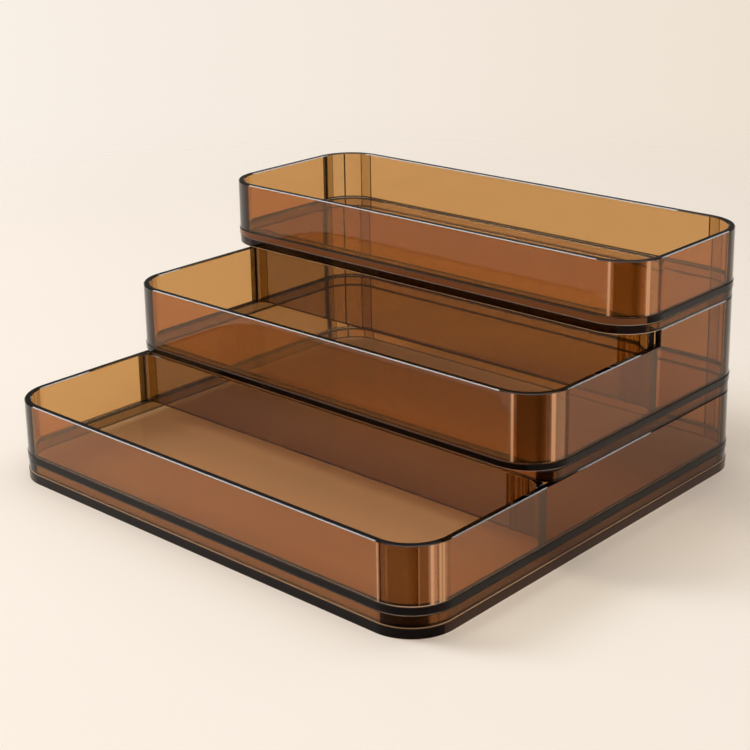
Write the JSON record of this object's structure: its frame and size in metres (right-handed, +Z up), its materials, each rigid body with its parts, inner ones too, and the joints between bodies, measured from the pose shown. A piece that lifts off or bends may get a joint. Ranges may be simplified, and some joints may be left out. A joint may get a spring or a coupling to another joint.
{
  "type": "tiered vanity organizer",
  "caption": "Tiered organizer of clear brown acrylic: stacked open trays with round corners, stepped back so each keeps an open front compartment.",
  "frame": {"origin": "centre of the footprint, on the table under the base plate", "axes": "+X to the right as seen from the front, +Y to the back, +Z up"},
  "size_m": [0.3, 0.278, 0.1375],
  "materials": {
    "wall_acrylic": "clear brown acrylic, polished",
    "plate_acrylic": "clear brown acrylic plate, polished, dark when seen edge-on"
  },
  "bodies": {
    "bottom_tray": {"base_plate": "plate_acrylic", "bottom_skirt": "wall_acrylic", "bottom_floor": "plate_acrylic", "bottom_wall": "wall_acrylic", "bottom_divider": "wall_acrylic"},
    "middle_tray": {"middle_skirt": "wall_acrylic", "middle_floor": "plate_acrylic", "middle_wall": "wall_acrylic", "middle_divider": "wall_acrylic"},
    "top_tray": {"top_skirt": "wall_acrylic", "top_floor": "plate_acrylic", "top_wall": "wall_acrylic"}
  },
  "joints": [
    {"name": "middle_lift", "type": "slide", "parent": "bottom_tray", "child": "middle_tray", "axis": [0, 0, 1], "range_m": [0, 0.06]},
    {"name": "top_lift", "type": "slide", "parent": "middle_tray", "child": "top_tray", "axis": [0, 0, 1], "range_m": [0, 0.06]}
  ]
}
